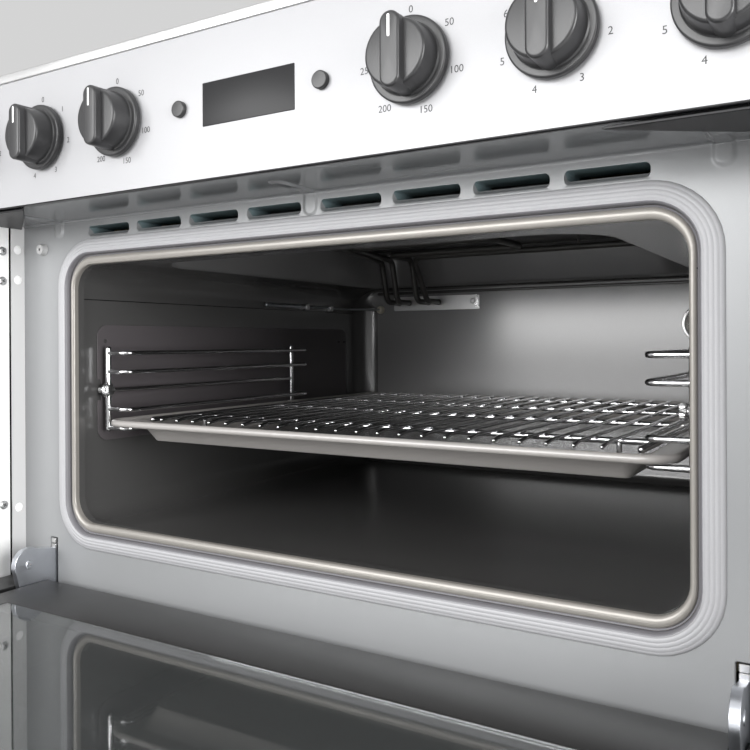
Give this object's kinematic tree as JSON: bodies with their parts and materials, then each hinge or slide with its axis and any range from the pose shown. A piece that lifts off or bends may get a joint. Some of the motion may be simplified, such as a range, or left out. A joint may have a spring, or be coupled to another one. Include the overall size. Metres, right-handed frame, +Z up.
{
  "type": "electric cooker",
  "caption": "Free-standing double-oven electric cooker with a glass-ceramic hob, drop-down oven doors, grill pan on side racks and a fan-assisted lower oven.",
  "frame": {"origin": "centre of the bounding box at floor level, with both oven doors open", "axes": "+Z up, the front of the cooker faces -Y, +X to the right seen from the front"},
  "size_m": [0.6, 0.933, 0.9],
  "materials": {
    "frame_paint": "satin grey enamelled sheet",
    "white_paint": "gloss white painted sheet",
    "zinc_sheet": "dull zinc-coated sheet",
    "dark_enamel": "glossy vitreous enamel, nearly black",
    "pan_enamel": "satin warm grey enamel",
    "liner_grey": "matt self-cleaning coating",
    "black_paint": "satin black paint",
    "seal_grey": "light grey silicone rubber",
    "buffer_rubber": "grey rubber",
    "chrome_wire": "polished plated wire",
    "element_sheath": "oxidised metal sheath",
    "hinge_steel": "zinc-plated steel",
    "screw_steel": "bright plated steel",
    "black_glass": "black printed toughened glass",
    "hob_ceramic": "black glass-ceramic",
    "window_glass": "grey tinted toughened glass",
    "lamp_glass": "heat-proof clear glass",
    "handle_metal": "brushed anodised aluminium",
    "fascia_silver": "light silver-grey painted sheet",
    "cap_plastic": "gloss black moulding",
    "knob_plastic": "satin black moulding",
    "switch_body": "cream moulding",
    "heater_ceramic": "pressed ceramic fibre dish",
    "mineral_wool": "mineral wool blanket",
    "fan_steel": "pressed steel",
    "motor_steel": "laminated steel"
  },
  "bodies": {
    "cooker_body": {"front_frame": "frame_paint", "side_panel_left": "white_paint", "side_panel_right": "white_paint", "rear_panel": "zinc_sheet", "base_pan": "zinc_sheet", "plinth": "black_paint", "levelling_feet": "screw_steel", "top_oven_liner": "dark_enamel", "top_oven_ceiling": "dark_enamel", "main_oven_liner": "dark_enamel", "top_oven_seal": "seal_grey", "main_oven_seal": "seal_grey", "grill_element": "element_sheath", "base_element": "element_sheath", "fan_ring_element": "element_sheath", "grill_bracket": "screw_steel", "side_liners": "liner_grey", "top_rack_left": "chrome_wire", "top_rack_right": "chrome_wire", "main_rack_left": "chrome_wire", "main_rack_right": "chrome_wire", "rack_thumb_screws": "screw_steel", "thermostat_probe": "screw_steel", "oven_lamps": "lamp_glass", "oven_insulation": "mineral_wool", "fan_cover": "dark_enamel", "oven_fan_motor": "motor_steel", "hinge_arms": "hinge_steel", "door_buffers": "buffer_rubber", "control_fascia": "fascia_silver", "fascia_end_caps": "cap_plastic", "control_switches": "switch_body", "timer_module": "cap_plastic", "hob_tray": "screw_steel", "hob_glass": "hob_ceramic", "radiant_heaters": "heater_ceramic", "cooling_fan_housing": "zinc_sheet", "terminal_block": "switch_body", "frame_screws": "screw_steel"},
    "top_door": {"top_door_shell": "black_paint", "top_door_outer_glass": "black_glass", "top_door_inner_glass": "window_glass", "top_door_handle": "handle_metal"},
    "main_door": {"main_door_shell": "black_paint", "main_door_outer_glass": "black_glass", "main_door_inner_glass": "window_glass", "main_door_handle": "handle_metal"},
    "grill_pan_set": {"grill_pan": "pan_enamel", "grill_grid": "chrome_wire"},
    "main_shelf_body": {"main_shelf": "chrome_wire"},
    "oven_fan": {"oven_fan_blade": "fan_steel"},
    "cooling_fan": {"cooling_fan_rotor": "fan_steel"},
    "button_minus": {"timer_button_minus": "knob_plastic"},
    "button_plus": {"timer_button_plus": "knob_plastic"},
    "knob_rear_left_body": {"knob_rear_left": "knob_plastic"},
    "knob_front_left_body": {"knob_front_left": "knob_plastic"},
    "knob_top_oven_body": {"knob_top_oven": "knob_plastic"},
    "knob_main_oven_body": {"knob_main_oven": "knob_plastic"},
    "knob_front_right_body": {"knob_front_right": "knob_plastic"},
    "knob_rear_right_body": {"knob_rear_right": "knob_plastic"}
  },
  "joints": [
    {"name": "top_door_hinge", "type": "hinge", "parent": "cooker_body", "child": "top_door", "pos_m": [0, -0.1045, 0.506], "axis": [1, 0, 0], "range_deg": [-90, 0]},
    {"name": "main_door_hinge", "type": "hinge", "parent": "cooker_body", "child": "main_door", "pos_m": [0, -0.1045, 0.112], "axis": [1, 0, 0], "range_deg": [-90, 0]},
    {"name": "grill_pan_slide", "type": "slide", "parent": "cooker_body", "child": "grill_pan_set", "axis": [0, -1, 0], "range_m": [0, 0.26]},
    {"name": "main_shelf_slide", "type": "slide", "parent": "cooker_body", "child": "main_shelf_body", "axis": [0, -1, 0], "range_m": [0, 0.24]},
    {"name": "oven_fan_spin", "type": "hinge", "parent": "cooker_body", "child": "oven_fan", "pos_m": [0, 0.3305, 0.2975], "axis": [0, 1, 0], "continuous": true},
    {"name": "cooling_fan_spin", "type": "hinge", "parent": "cooker_body", "child": "cooling_fan", "pos_m": [0, 0.4225, 0.64], "axis": [1, 0, 0], "continuous": true},
    {"name": "knob_rear_left_turn", "type": "hinge", "parent": "cooker_body", "child": "knob_rear_left_body", "pos_m": [-0.255, -0.1585, 0.848], "axis": [0, 1, 0], "range_deg": [0, 300]},
    {"name": "knob_front_left_turn", "type": "hinge", "parent": "cooker_body", "child": "knob_front_left_body", "pos_m": [-0.181, -0.1585, 0.848], "axis": [0, 1, 0], "range_deg": [0, 300]},
    {"name": "knob_top_oven_turn", "type": "hinge", "parent": "cooker_body", "child": "knob_top_oven_body", "pos_m": [-0.107, -0.1585, 0.848], "axis": [0, 1, 0], "range_deg": [0, 270]},
    {"name": "knob_main_oven_turn", "type": "hinge", "parent": "cooker_body", "child": "knob_main_oven_body", "pos_m": [0.107, -0.1585, 0.848], "axis": [0, 1, 0], "range_deg": [0, 270]},
    {"name": "knob_front_right_turn", "type": "hinge", "parent": "cooker_body", "child": "knob_front_right_body", "pos_m": [0.181, -0.1585, 0.848], "axis": [0, 1, 0], "range_deg": [0, 300]},
    {"name": "knob_rear_right_turn", "type": "hinge", "parent": "cooker_body", "child": "knob_rear_right_body", "pos_m": [0.255, -0.1585, 0.848], "axis": [0, 1, 0], "range_deg": [0, 300]},
    {"name": "button_minus_press", "type": "slide", "parent": "cooker_body", "child": "button_minus", "axis": [0, 1, 0], "range_m": [0, 0.002], "stiffness_N_per_m": 400},
    {"name": "button_plus_press", "type": "slide", "parent": "cooker_body", "child": "button_plus", "axis": [0, 1, 0], "range_m": [0, 0.002], "stiffness_N_per_m": 400}
  ]
}
